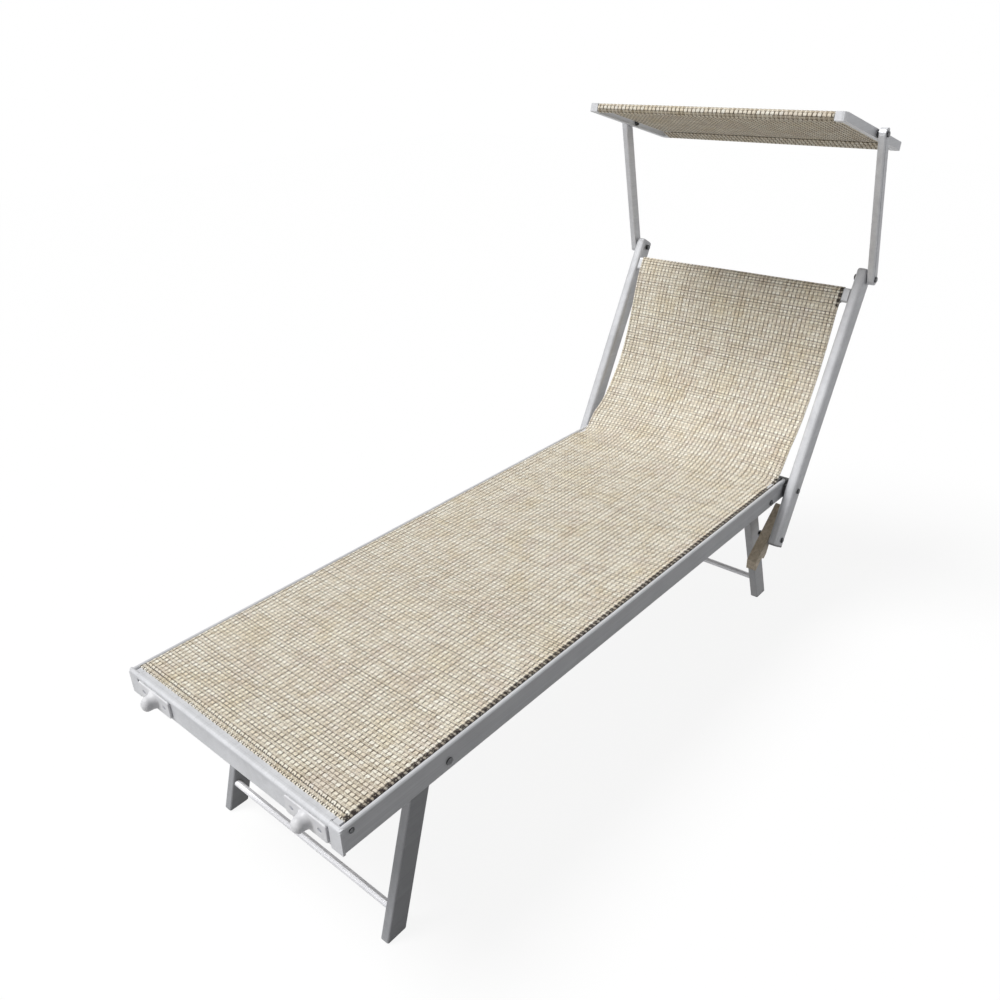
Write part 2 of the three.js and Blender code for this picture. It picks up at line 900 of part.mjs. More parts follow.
function spacer(inner, outer, height) {
  const bore = boltRadius + holeClearance;
  return tube(inner + seatGap, outer - seatGap, spacerRadius, spacerRadius - bore, 0, height);
}

function armBolt(height, inner) {
  return bolt({ face: armOuter, end: inner - seatGap - nutHeight, y: 0, z: height, nut: inner });
}

// Canopy frame, drawn level about its middle
function canopyRail() {
  const halfDepth = canopyDepth / 2;
  const halfHeight = canopyRailHeight / 2;
  const elbowEnd = canopyRailInner - canopyElbow;
  const elbowFace = halfDepth - canopyElbowDepth;
  const body = alongZ(
    outline([
      [elbowEnd, -halfDepth],
      [canopyRailOuter, -halfDepth, canopyRailCorner],
      [canopyRailOuter, halfDepth, canopyRailCorner],
      [elbowEnd, halfDepth],
      [elbowEnd, elbowFace],
      [canopyRailInner, elbowFace],
      [canopyRailInner, -elbowFace],
      [elbowEnd, -elbowFace],
    ]),
    -halfHeight,
    halfHeight,
  );
  const core = alongY(
    rectangle(
      canopyRailInner + canopyRailWall,
      canopyRailOuter - canopyRailWall,
      canopyRailWall - halfHeight,
      halfHeight - canopyRailWall,
    ),
    canopyRailCorner - halfDepth,
    halfDepth - canopyRailCorner,
  );
  return cut(body, core, boltHole(canopyRailInner, canopyRailOuter, canopyPivotShift, canopyPivotRise));
}

function canopyBar(side) {
  const half = canopyRailInner - canopyElbow - seatGap;
  const place = side * (canopyDepth / 2 - canopyBarInset);
  return tube(-half, half, canopyBarRadius, canopyBarWall, place, 0);
}

// Canopy fabric: a pocket round each bar, closed by a seam, and one sheet between the two seams
function canopyFabric() {
  const wrap = canopyBarRadius + seatGap + fabricThickness / 2;
  const place = canopyDepth / 2 - canopyBarInset;
  const seam = place - wrap - hemReach;
  const away = place - seam;
  const leave = Math.PI - Math.acos(wrap / away);
  const under = new THREE.Vector2(seam, -fabricThickness - hemGap);
  const rearHalf = wrapEnd(new THREE.Vector2(place, 0), wrap, leave, under);
  rearHalf.unshift(new THREE.Vector2(seam, 0));
  const frontHalf = rearHalf.map(({ x, y }) => new THREE.Vector2(-x, y)).reverse();
  const sheetShares = [-0.75, -0.5, -0.25, 0, 0.25, 0.5, 0.75];
  const sheet = sheetShares.map((share) => new THREE.Vector2(share * seam, 0));
  const halfWidth = canopyRailInner - canopyElbow - 2 * seatGap - canopyFabricEdgeGap;
  const sag = (x, point) => {
    const across = 1 - (x / halfWidth) ** 2;
    const along = Math.max(1 - (point.x / seam) ** 2, 0);
    return -canopySag * across * along;
  };
  return clothSheet([...frontHalf, ...sheet, ...rearHalf], evenColumns(halfWidth, 8), sag);
}

// Assembly
const lounger = new THREE.Group();

addPair(lounger, "seat_rail", seatRail(), aluminium);
addPiece(lounger, "foot_crossbar", footCrossbar(), aluminium);
addPiece(lounger, "middle_crossbar", middleCrossbar(), aluminium);
addPiece(lounger, "rear_crossbar", rearCrossbar(), aluminium);
addPair(lounger, "hinge_bracket", hingeBracket(), blackPlastic);
addPair(lounger, "corner_bolt", bolt({
  face: railFace,
  end: railFace - cornerBoltLength,
  y: cornerBoltPlace,
  z: seatHeight - cornerBoltDrop,
  radius: smallBoltRadius,
  head: smallHeadRadius,
  dome: smallHeadHeight,
}), chrome);
addPair(lounger, "front_leg_bolt", legBolt(frontLeg), chrome);
addPair(lounger, "rear_leg_bolt", legBolt(rearLeg), chrome);
addPair(lounger, "foot_hook", footHook(), whitePlastic);
hookScrewPlaces().forEach((x, i) => {
  addPair(lounger, ["hook_screw_inner", "hook_screw_outer"][i], hookScrew(x), chrome);
});
addPiece(lounger, "seat_sling", seatSling(), slingFabric);

addLegs(lounger, frontLeg, "front");
addLegs(lounger, rearLeg, "rear");

const back = addGroup(lounger, hingePlace, hingeHeight, -backLean);
addPair(back, "back_rail", backRail(), aluminium);
addPair(back, "back_top_cap", backTopCap(), aluminium);
addPair(back, "back_end_cap", backEndCap(), greyPlastic);
addPiece(back, "back_top_bar", backTopBar(), aluminium);
addPiece(back, "back_sling", backSling(), slingFabric);
addPair(back, "hinge_bolt", backBolt(0, {
  end: railInner - seatGap - nutHeight,
  nut: railInner,
}), chrome);
addPair(back, "prop_bolt", backBolt(-propDown, {
  end: propInner - seatGap - nutHeight,
  sleeve: [propOuter + seatGap, backRailInner - seatGap],
  nut: propInner,
}), chrome);

const props = addGroup(back, 0, -propDown, radians(propSlope) - Math.PI / 2 + backLean);
addPair(props, "prop", prop(), tanPlastic);

const arms = addGroup(back, 0, armPivotUp, backLean + radians(armLean));
addPair(arms, "canopy_arm", arm(), aluminium);
addPair(arms, "arm_spacer", spacer(backRailOuter, armInner, 0), blackPlastic);
addPair(arms, "arm_bolt", armBolt(0, backRailInner), chrome);

const canopy = addGroup(arms, 0, armSpan, -radians(armLean) - radians(canopyTilt));
addPair(canopy, "canopy_spacer", spacer(canopyRailOuter, armInner, 0), blackPlastic);
addPair(canopy, "canopy_bolt", armBolt(0, canopyRailInner), chrome);
const shade = addGroup(canopy, -canopyPivotShift, -canopyPivotRise, 0);
addPair(shade, "canopy_rail", canopyRail(), aluminium);
addPiece(shade, "canopy_front_bar", canopyBar(-1), aluminium);
addPiece(shade, "canopy_rear_bar", canopyBar(1), aluminium);
addPiece(shade, "canopy_fabric", canopyFabric(), slingFabric);

// The origin is on the floor under the middle of the whole lounger
lounger.updateMatrixWorld(true);
const bounds = new THREE.Box3().setFromObject(lounger, true);
const middle = bounds.getCenter(new THREE.Vector3());
lounger.position.set(-middle.x, -middle.y, -bounds.min.z);
lounger.updateMatrixWorld(true);

export default lounger;
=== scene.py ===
"""Looks of the sun lounger with canopy: woven sling, sunshade cloth, foot hooks, shoes and finishes."""

import json
import math

import bpy
import numpy as np
from mathutils import Matrix, Vector


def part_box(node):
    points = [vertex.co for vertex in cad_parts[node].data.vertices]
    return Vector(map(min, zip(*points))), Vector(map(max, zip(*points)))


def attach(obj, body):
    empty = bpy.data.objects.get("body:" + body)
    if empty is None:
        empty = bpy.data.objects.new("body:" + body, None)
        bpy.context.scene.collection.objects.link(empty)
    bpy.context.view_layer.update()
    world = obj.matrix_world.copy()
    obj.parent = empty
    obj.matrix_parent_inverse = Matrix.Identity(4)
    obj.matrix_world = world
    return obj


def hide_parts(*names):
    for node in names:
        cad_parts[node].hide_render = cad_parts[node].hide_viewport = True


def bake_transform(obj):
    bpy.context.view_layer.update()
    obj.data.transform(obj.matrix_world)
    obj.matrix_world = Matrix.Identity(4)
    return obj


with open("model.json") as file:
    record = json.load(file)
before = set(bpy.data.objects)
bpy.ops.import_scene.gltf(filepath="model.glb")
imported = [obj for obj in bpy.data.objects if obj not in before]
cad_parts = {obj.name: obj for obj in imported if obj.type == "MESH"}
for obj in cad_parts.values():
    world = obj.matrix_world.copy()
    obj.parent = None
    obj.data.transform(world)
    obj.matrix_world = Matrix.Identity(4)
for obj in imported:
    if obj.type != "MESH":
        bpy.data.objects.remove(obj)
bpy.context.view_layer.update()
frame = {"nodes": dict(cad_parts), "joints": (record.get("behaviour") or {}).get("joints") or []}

NODES = frame["nodes"]
JOINTS = {joint["name"]: Vector(joint["pos_m"]) for joint in frame["joints"]}
MM = 0.001
SIDES = ("left", "right")

# Places, from the frame
RAIL_LOW, RAIL_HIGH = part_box("seat_rail_right")
FOOT_Y = RAIL_LOW.y
SEAT_Z = RAIL_HIGH.z
RAIL_OUTER = RAIL_HIGH.x
HINGE = JOINTS["backrest_recline"]
CANOPY_PIVOT = JOINTS["canopy_tilt"]

# How members lie at rest: the back, the canopy and the props from the level, legs and arms from upright
BACK_ANGLE = math.radians(61.2)
CANOPY_TILT = math.radians(15.45)
PROP_LEAN = math.radians(38)
LEG_LEAN = {"front": math.radians(-17.25), "rear": math.radians(18.8)}
ARM_LEAN = math.radians(10.9)
UPRIGHT = math.radians(90)


# Camera: the photograph's viewing point
def make_camera():
    data = bpy.data.cameras.new("camera")
    data.sensor_width = 36.0
    data.lens = 32.744
    data.shift_x = -0.00266
    data.shift_y = -0.00854
    data.clip_start = 0.05
    data.clip_end = 60.0
    camera = bpy.data.objects.new("camera", data)
    right = Vector((0.75467458, 0.65533144, -0.03173302))
    up = Vector((-0.27989882, 0.36531937, 0.88780539))
    ahead = Vector((-0.59339947, 0.66112212, -0.45912374))
    turn = Matrix((right, up, -ahead)).transposed()
    place = Vector((1.12116656, FOOT_Y - 0.53555721, 1.4294331))
    camera.matrix_world = Matrix.Translation(place) @ turn.to_4x4()
    bpy.context.scene.collection.objects.link(camera)
    bpy.context.scene.camera = camera


# Node graphs
class Graph:
    """The nodes of a material or a world, made by short calls."""

    def __init__(self, owner, surface="Principled BSDF"):
        owner.use_nodes = True
        self.owner = owner
        self.nodes = owner.node_tree.nodes
        self.links = owner.node_tree.links
        self.surface = self.nodes[surface]

    def feed(self, socket, value):
        if isinstance(value, bpy.types.NodeSocket):
            self.links.new(value, socket)
        else:
            socket.default_value = value

    def add(self, kind, inputs=None, **settings):
        node = self.nodes.new(kind)
        for key, value in settings.items():
            setattr(node, key, value)
        for key, value in (inputs or {}).items():
            self.feed(node.inputs[key], value)
        return node

    def math(self, operation, a, b=None, c=None, clamp=False):
        inputs = {i: v for i, v in enumerate((a, b, c)) if v is not None}
        return self.add("ShaderNodeMath", inputs, operation=operation, use_clamp=clamp).outputs[0]

    def ramp(self, value, low, high, out_low=0.0, out_high=1.0):
        inputs = {"Value": value, "From Min": low, "From Max": high, "To Min": out_low, "To Max": out_high}
        return self.add("ShaderNodeMapRange", inputs, interpolation_type="SMOOTHSTEP").outputs["Result"]

    def mix(self, share, a, b, blend="MIX"):
        node = self.add("ShaderNodeMix", data_type="RGBA", blend_type=blend)
        self.feed(node.inputs[0], share)
        self.feed(node.inputs[6], a)
        self.feed(node.inputs[7], b)
        return node.outputs[2]

    def noise(self, vector, scale, detail=3.0, rough=0.55):
        inputs = {"Vector": vector, "Scale": scale, "Detail": detail, "Roughness": rough}
        return self.add("ShaderNodeTexNoise", inputs).outputs["Fac"]

    def mapping(self, vector, rotation, scale):
        inputs = {"Vector": vector, "Rotation": rotation, "Scale": scale}
        return self.add("ShaderNodeMapping", inputs, vector_type="POINT").outputs["Vector"]

    def place(self, rotation=(0.0, 0.0, 0.0), scale=(1.0, 1.0, 1.0)):
        """The place on the object, stretched and then turned."""
        return self.mapping(self.add("ShaderNodeTexCoord").outputs["Object"], rotation, scale)

    def bump(self, height, strength, distance):
        inputs = {"Height": height, "Strength": strength, "Distance": distance}
        return self.add("ShaderNodeBump", inputs).outputs["Normal"]

    def seen(self):
        """1 for rays from the camera, off gloss and through glass, 0 for those that light the object."""
        path = self.add("ShaderNodeLightPath")
        shown = self.math("MAXIMUM", path.outputs["Is Camera Ray"], path.outputs["Is Glossy Ray"])
        return self.math("MAXIMUM", shown, path.outputs["Is Transmission Ray"])

    def finish(self, **sockets):
        for key, value in sockets.items():
            self.feed(self.surface.inputs[key.replace("_", " ").title().replace("Ior", "IOR")], value)
        return self.owner


def shader(name):
    return Graph(bpy.data.materials.new(name))


def rgb(red, green, blue):
    """A colour given as it looks on screen, from 0 to 255."""
    def linear(value):
        share = value / 255
        return share / 12.92 if share <= 0.04045 else ((share + 0.055) / 1.055) ** 2.4
    return (linear(red), linear(green), linear(blue), 1.0)


def aluminium(name, lean, light, dark, metallic):
    """Drawn aluminium, whose fine lines run along y; lean turns the noise that they come from."""
    s = shader(name)
    turn = (-lean, 0.0, 0.0)
    lines = s.noise(s.place(turn, (700.0, 3.0, 700.0)), 1.0, 4.0)
    bands = s.noise(s.place(turn, (70.0, 0.8, 70.0)), 1.0, 2.0)
    cloud = s.noise(s.place(), 14.0, 5.0)
    scuff = s.ramp(s.noise(s.place(turn, (90.0, 40.0, 90.0)), 1.0, 6.0, 0.7), 0.62, 0.75)
    tone = s.math("MULTIPLY_ADD", cloud, 0.35, s.math("MULTIPLY", bands, 0.2))
    tone = s.math("MULTIPLY_ADD", lines, 0.45, tone)
    colour = s.mix(s.ramp(tone, 0.35, 0.65), dark, light)
    colour = s.mix(s.math("MULTIPLY", scuff, 0.18), colour, rgb(150, 148, 142))
    rough = s.math("ADD", s.ramp(tone, 0.3, 0.7, 0.42, 0.55), s.math("MULTIPLY", scuff, 0.12))
    normal = s.bump(lines, 0.12, 0.4 * MM)
    return s.finish(base_color=colour, roughness=rough, metallic=metallic, specular_ior_level=0.15,
                    normal=normal)


def moulded(name, light, dark, rough, wear=0.15):
    """Moulded plastic or dull plating, with spots of tone and pale rubbed places."""
    s = shader(name)
    spots = s.noise(s.place(), 45.0, 5.0)
    fine = s.noise(s.place(), 900.0, 3.0)
    rubbed = s.ramp(s.noise(s.place(), 120.0, 6.0, 0.7), 0.6, 0.72)
    colour = s.mix(s.ramp(spots, 0.3, 0.7), dark, light)
    colour = s.mix(s.math("MULTIPLY", rubbed, wear), colour, rgb(190, 186, 178))
    roughness = s.ramp(spots, 0.3, 0.7, rough - 0.06, rough + 0.08)
    return s.finish(base_color=colour, roughness=roughness, normal=s.bump(fine, 0.15, 0.3 * MM))


def weathered(name, light, dark, lean):
    """Sun-faded plastic with darker streaks and brown blots."""
    s = shader(name)
    streak = s.noise(s.place((-lean, 0.0, 0.0), (160.0, 14.0, 160.0)), 1.0, 5.0, 0.65)
    blot = s.noise(s.place(), 60.0, 5.0)
    fine = s.noise(s.place(), 1100.0, 2.0)
    colour = s.mix(s.ramp(streak, 0.35, 0.65), dark, light)
    colour = s.mix(s.ramp(blot, 0.55, 0.75, 0.0, 0.4), colour, rgb(120, 104, 84))
    rough = s.ramp(blot, 0.3, 0.7, 0.5, 0.68)
    return s.finish(base_color=colour, roughness=rough, normal=s.bump(fine, 0.2, 0.3 * MM))


def plated(name):
    """Steel plating in a dark colour, which stands in for the dark surroundings that it reflects, mottled
    in places.
    """
    s = shader(name)
    cloud = s.noise(s.place(), 160.0, 4.0)
    swirl = s.noise(s.place(), 1400.0, 2.0)
    colour = s.mix(s.ramp(cloud, 0.3, 0.7), rgb(40, 40, 42), rgb(96, 97, 99))
    rough = s.ramp(cloud, 0.3, 0.7, 0.14, 0.28)
    return s.finish(base_color=colour, roughness=rough, metallic=1.0, normal=s.bump(swirl, 0.05, 0.2 * MM))


# Weave: one repeat is a cream float and a taupe float, side by side across and along
COLUMN = 10.7 * MM
ROW = 13.9 * MM
CLOTH = 1.4 * MM
RELIEF = 0.9 * MM
WEAVE_MAP = "weave"
EDGE_MAP = "edge"
CELLS_ACROSS = 2

# Shares of a repeat: half a cream float at its middle and at its ends, and the halves of the taupe oval
FLOAT_WIDE, FLOAT_NARROW = 0.37, 0.1
OVAL_COLUMN, OVAL_ROW = 0.33, 0.24

# Marks by the cloth's edges: slanting columns and two lines of stitch holes at its end, and painted shade
# along its sides
SLANT = 0.62
SLANT_REACH = 19 * MM
STITCH_LINES = (1.8 * MM, 11.2 * MM)
STITCH_EDGE = (1.2 * MM, 1.9 * MM)
PAINTED_SIDE_SHADE = (7 * MM, 9.5 * MM)


class Weave(Graph):
    """Mesh cloth of coated yarn. The weave map's unit is one repeat, its whole numbers the cream floats.
    The edge map tells how far a point is from the cloth's side and end, in metres, or far off where no
    mark shows."""

    def __init__(self, name):
        super().__init__(bpy.data.materials.new(name))
        self.across, self.along = self.read_map(WEAVE_MAP)
        self.side_edge, self.end_edge = self.read_map(EDGE_MAP)
        self.spot = self.plane(self.across, self.along)
        slant = self.ramp(self.end_edge, 0.0, SLANT_REACH, SLANT, 0.0)
        self.column_at = self.math("SUBTRACT", self.wavy(self.across, 2.3, 0.2), slant)
        self.row_at = self.wavy(self.along, 1.7, 0.24)
        self.near_column = self.from_whole(self.column_at)
        self.near_row = self.from_whole(self.row_at)
        self.threads = self.noise(self.turned(0.35, (9.0, 3.6, 1.0)), 1.6, 4.0, 0.7)

    def read_map(self, name):
        parts = self.add("ShaderNodeSeparateXYZ", {0: self.add("ShaderNodeUVMap", uv_map=name).outputs[0]})
        return parts.outputs[0], parts.outputs[1]

    def plane(self, x, y):
        return self.add("ShaderNodeCombineXYZ", {0: x, 1: y}).outputs[0]

    def turned(self, angle, scale):
        """The place on the weave map, stretched and then turned."""
        return self.mapping(self.spot, (0.0, 0.0, angle), scale)

    def of_cell(self, column, row):
        inputs = {"Vector": self.plane(column, row)}
        return self.add("ShaderNodeTexWhiteNoise", inputs, noise_dimensions="2D").outputs["Value"]

    def of_line(self, number):
        return self.add("ShaderNodeTexWhiteNoise", {"W": number}, noise_dimensions="1D").outputs["Value"]

    def from_whole(self, value):
        """How far a value is from the nearest whole number."""
        part = self.math("FRACT", self.math("ADD", value, 0.5))
        return self.math("ABSOLUTE", self.math("SUBTRACT", part, 0.5))

    def wavy(self, value, scale, amount):
        shift = self.math("SUBTRACT", self.noise(self.spot, scale, 2.0), 0.5)
        return self.math("MULTIPLY_ADD", shift, amount, value)

    def cream_floats(self):
        half_float = self.ramp(self.near_row, 0.17, 0.3, FLOAT_WIDE, FLOAT_NARROW)
        return self.ramp(self.math("SUBTRACT", self.near_column, half_float), -0.05, 0.045, 1.0, 0.0)

    def oval_rims(self):
        """The rims of the ovals of taupe yarn, which lie halfway between cream floats."""
        column = self.math("DIVIDE", self.math("SUBTRACT", 0.5, self.near_column), OVAL_COLUMN)
        row = self.math("DIVIDE", self.math("SUBTRACT", 0.5, self.near_row), OVAL_ROW)
        squares = self.math("ADD", self.math("POWER", column, 2.0), self.math("POWER", row, 2.0))
        oval = self.math("SQRT", squares)
        return self.math("MULTIPLY", self.ramp(oval, 0.62, 0.85), self.ramp(oval, 0.95, 1.2, 1.0, 0.0))

    def grooves(self):
        columns = self.ramp(self.near_column, 0.375, 0.43)
        return self.math("MULTIPLY", columns, self.ramp(self.near_row, 0.22, 0.4, 1.0, 0.3))

    def yarn(self, floats, rims, taupe_light, taupe_dark):
        """The colours of the two yarns, each float a little different, with other threads between."""
        cell = self.of_cell(self.math("ROUND", self.column_at), self.math("ROUND", self.row_at))
        cream = self.mix(cell, rgb(255, 252, 240), rgb(240, 230, 210))
        cream = self.mix(self.ramp(self.threads, 0.5, 0.64, 0.0, 0.6), cream, rgb(168, 150, 124))
        cell = self.of_cell(self.math("FLOOR", self.column_at), self.math("FLOOR", self.row_at))
        taupe = self.mix(cell, taupe_light, taupe_dark)
        taupe = self.mix(self.math("MULTIPLY", rims, 0.7), taupe, rgb(112, 96, 74))
        taupe = self.mix(self.ramp(self.threads, 0.46, 0.62, 0.0, 0.7), taupe, rgb(255, 250, 236))
        return self.mix(floats, taupe, cream)

    def clouded(self, colour):
        """Wide yellow and pink clouds, and brown grit."""
        patch = self.noise(self.spot, 0.12, 3.0)
        apart = self.add("ShaderNodeVectorMath", {0: self.spot, 1: (31.0, 17.0, 0.0)}, operation="ADD")
        blush = self.noise(apart.outputs[0], 0.17, 3.0)
        grit = self.noise(self.turned(-0.5, (5.0, 2.6, 1.0)), 1.0, 3.0, 0.8)
        colour = self.mix(self.ramp(patch, 0.48, 0.7, 0.0, 0.2), colour, rgb(242, 228, 182), "MULTIPLY")
        colour = self.mix(self.ramp(blush, 0.5, 0.7, 0.0, 0.3), colour, rgb(226, 214, 218), "MULTIPLY")
        return self.mix(self.ramp(grit, 0.5, 0.66, 0.0, 0.4), colour, rgb(142, 126, 102))

    def groove_shade(self, grooves, extra):
        """Painted shade in the grooves between columns and the creases between rows, which fades in and out
        along each line.
        """
        column = self.math("FLOOR", self.column_at)
        place = self.plane(self.math("MULTIPLY", column, 7.3), self.math("MULTIPLY", self.along, 0.11))
        depth = self.ramp(self.noise(place, 1.0, 2.0), 0.35, 0.62, 0.42 + extra, 0.84 + extra)
        depth = self.math("MULTIPLY_ADD", self.of_line(column), 0.4, depth, clamp=True)
        crease_at = self.math("MULTIPLY_ADD", self.row_at, 2.0, 0.5)
        crease = self.math("ROUND", crease_at)
        place = self.plane(self.math("MULTIPLY", self.across, 0.09), self.math("MULTIPLY", crease, 5.7))
        fade = self.ramp(self.noise(place, 1.0, 2.0), 0.36, 0.6, 0.6, 1.0)
        line = self.math("MULTIPLY", self.ramp(self.of_line(crease), 0.2, 0.9, 0.42, 0.9), fade)
        line = self.math("MULTIPLY", line, self.ramp(self.from_whole(crease_at), 0.07, 0.16, 1.0, 0.0))
        return self.math("MAXIMUM", self.math("MULTIPLY", grooves, depth), line)

    def side_shade(self):
        """Painted shade along the sides, where they tuck under the rails and into the top bar's pocket:
        speckled by the weave, deep on the right and faint on the left.
        """
        specks = self.ramp(self.noise(self.spot, 3.1, 3.0, 0.7), 0.34, 0.5)
        specks = self.math("MULTIPLY", specks, self.ramp(self.near_row, 0.06, 0.22))
        side = self.ramp(self.side_edge, *PAINTED_SIDE_SHADE, 1.0, 0.0)
        side = self.math("MULTIPLY", side, self.math("MULTIPLY_ADD", specks, 0.72, 0.28))
        return self.math("MULTIPLY", side, self.ramp(self.across, -1.0, 1.0, 0.15, 1.0))

    def stitch_line(self, place):
        off = self.math("ABSOLUTE", self.math("SUBTRACT", self.end_edge, place))
        return self.ramp(off, *STITCH_EDGE, 1.0, 0.0)

    def stitch_holes(self):
        near, far = STITCH_LINES
        lines = self.math("MAXIMUM", self.stitch_line(near), self.stitch_line(far))
        off = self.from_whole(self.math("MULTIPLY", self.column_at, 2.0))
        return self.math("MULTIPLY", lines, self.ramp(off, 0.16, 0.24, 1.0, 0.0))


def woven(name, taupe_light, taupe_dark, extra_shade=0.0):
    """Cloth of cream and taupe yarn; its last argument deepens the painted shade in the grooves between its
    columns.
    """
    s = Weave(name)
    floats, rims, grooves = s.cream_floats(), s.oval_rims(), s.grooves()
    colour = s.clouded(s.yarn(floats, rims, taupe_light, taupe_dark))
    # Painted shade in the grooves between columns and the creases between rows
    colour = s.mix(s.groove_shade(grooves, extra_shade), colour, rgb(70, 56, 40))
    # Painted shade along the sides
    colour = s.mix(s.side_shade(), colour, rgb(34, 24, 20))
    colour = s.mix(s.stitch_holes(), colour, rgb(30, 20, 16))
    relief = s.math("MULTIPLY_ADD", floats, 0.5, s.math("MULTIPLY", rims, -0.3))
    relief = s.math("SUBTRACT", relief, s.math("MULTIPLY", grooves, 0.6))
    relief = s.math("MULTIPLY_ADD", s.threads, 0.5, relief)
    rough = s.ramp(floats, 0.0, 1.0, 0.85, 0.68)
    return s.finish(base_color=colour, roughness=rough, normal=s.bump(relief, 0.6, 1.1 * MM))


# Meshes
CORNER_STEPS = 6


def even_steps(points, count):
    points = np.asarray(points, float)
    run = np.r_[0, np.cumsum(np.linalg.norm(np.diff(points, axis=0), axis=1))]
    t = np.linspace(0, run[-1], count)
    return np.stack([np.interp(t, run, points[:, k]) for k in range(points.shape[1])], 1)


def smooth_path(points, count):
    """Points at even steps along the natural cubic through the given points."""
    points = np.asarray(points, float)
    chord = np.r_[0, np.cumsum(np.linalg.norm(np.diff(points, axis=0), axis=1))]
    gap = np.diff(chord)
    size = len(points)
    system = np.zeros((size, size))
    right = np.zeros((size, points.shape[1]))
    system[0, 0] = system[-1, -1] = 1
    for i in range(1, size - 1):
        system[i, i - 1:i + 2] = gap[i - 1], 2 * (gap[i - 1] + gap[i]), gap[i]
        right[i] = 6 * ((points[i + 1] - points[i]) / gap[i] - (points[i] - points[i - 1]) / gap[i - 1])
    bend = np.linalg.solve(system, right)
    t = np.linspace(0, chord[-1], 12 * count)
    k = np.clip(np.searchsorted(chord, t, "right") - 1, 0, size - 2)
    a, b, h = (chord[k + 1] - t)[:, None], (t - chord[k])[:, None], gap[k][:, None]
    dense = (bend[k] * a**3 + bend[k + 1] * b**3) / (6 * h)
    dense += (points[k] / h - bend[k] * h / 6) * a + (points[k + 1] / h - bend[k + 1] * h / 6) * b
    return even_steps(dense, count)


def ease(value, low, high):
    t = np.clip((value - low) / (high - low), 0, 1)
    return t * t * (3 - 2 * t)


def add_mesh(name, vertices, faces, smooth=True):
    mesh = bpy.data.meshes.new(name)
    mesh.from_pydata(vertices, [], faces)
    mesh.validate()
    if smooth:
        mesh.shade_smooth()
    obj = bpy.data.objects.new(name, mesh)
    bpy.context.scene.collection.objects.link(obj)
    return obj


def paint(obj, material):
    obj.data.materials.clear()
    obj.data.materials.append(material)


def rounded_loop(half_x, half_y, corner):
    loop = []
    for quarter, (sx, sy) in enumerate(((1, 1), (-1, 1), (-1, -1), (1, -1))):
        for i in range(CORNER_STEPS + 1):
            angle = (quarter + i / CORNER_STEPS) * math.pi / 2
            loop.append((sx * (half_x - corner) + corner * math.cos(angle),
                         sy * (half_y - corner) + corner * math.sin(angle)))
    return loop


def shell(rings):
    """The closed shell through the rings, which run counterclockwise as seen from beyond the last."""
    count = len(rings[0])
    vertices = [point for ring in rings for point in ring]
    last = len(vertices) - count
    faces = []
    for first in range(0, last, count):
        for i in range(count):
            a, b = first + i, first + (i + 1) % count
            faces.append((a, b, b + count, a + count))
    faces.append(tuple(reversed(range(count))))
    faces.append(tuple(range(last, last + count)))
    return vertices, faces


def count_repeats(shares, run, half):
    """How many repeats of the weave a point is from the cloth's middle, in halves, and from its end."""
    across = np.round(shares * half / COLUMN * 2) / 2
    return np.broadcast_arrays(across, run / ROW)


def woven_sheet(name, surface, across, along, edges, relief_back):
    """Cloth as two woven faces over one smooth surface, which is a grid of points, rows along by columns
    across. across and along count repeats, and edges gives the distances from the side and the end."""
    rows, columns = surface.shape[:2]
    normal = np.cross(np.gradient(surface, axis=1), np.gradient(surface, axis=0))
    normal /= np.linalg.norm(normal, axis=2, keepdims=True)
    even_column = np.cos(2 * np.pi * across)
    even_row = np.cos(2 * np.pi * along)
    height = 0.25 + 0.35 * even_column * even_row + 0.25 * even_column
    front = surface + normal * (CLOTH / 2 + RELIEF * height)[..., None]
    back = surface - normal * (CLOTH / 2 + relief_back * height)[..., None]
    vertices = np.concatenate([front.reshape(-1, 3), back.reshape(-1, 3)])
    layer = rows * columns
    i, k = np.meshgrid(np.arange(rows - 1), np.arange(columns - 1), indexing="ij")
    a = (i * columns + k).ravel()
    top = np.stack([a, a + 1, a + columns + 1, a + columns], 1)
    under = np.stack([a, a + columns, a + columns + 1, a + 1], 1) + layer
    rim = np.concatenate([
        np.arange(columns - 1),
        np.arange(rows - 1) * columns + columns - 1,
        (rows - 1) * columns + np.arange(columns - 1, 0, -1),
        np.arange(rows - 1, 0, -1) * columns,
    ])
    after = np.roll(rim, -1)
    wall = np.stack([rim, rim + layer, after + layer, after], 1)
    obj = add_mesh(name, vertices.tolist(), np.concatenate([top, under, wall]).tolist())
    corners = np.zeros(len(obj.data.loops), np.int32)
    obj.data.loops.foreach_get("vertex_index", corners)
    corners %= layer
    for label, grid in ((WEAVE_MAP, np.stack([across, along], -1)), (EDGE_MAP, edges)):
        values = grid.reshape(-1, 2)[corners].astype(np.float32)
        obj.data.uv_layers.new(name=label).data.foreach_set("uv", values.ravel())
    return obj


# Sling: one cloth from the foot end, up behind the hips and over the top bar
GAP = 0.3 * MM
RAIL_BEAD = 10 * MM
SLING_HALF = RAIL_OUTER - RAIL_BEAD - GAP
SLING_Z = SEAT_Z - 1.0 * MM
SLING_FOOT = FOOT_Y + 18 * MM
HEM_GAP = 0.9 * MM
EDGE_CLEAR = 10 * MM

# Its seat, in metres from the foot end: where it turns up at the middle and at the edge, and where it sags
MIDDLE_LEVEL, EDGE_LEVEL = 1.300, 1.352
SEAT_SAG = 6 * MM
SAG_GROWS = (0.0, 0.16)
SAG_FADES = (1.22, 1.40)

# Its edge's way up the back, in mm up from the hinge and mm behind the back's plane, and how many of these
# points its middle leaves out, where it turns up in a wider bend and lies a little further back
TUCK = [(4.6, -48.3), (10.6, -44.6), (22.0, -42.6), (32.6, -39.5), (51.3, -35.0), (67, -28), (88.8, -19),
        (116.4, -10), (148.2, -2), (187.6, 4), (232.3, 7), (281.7, 6), (335.8, 1), (390, -7), (434.6, -14)]
MIDDLE_SKIPS = 6
BACK_SLACK = 5 * MM
SLACK_REACH = 440 * MM

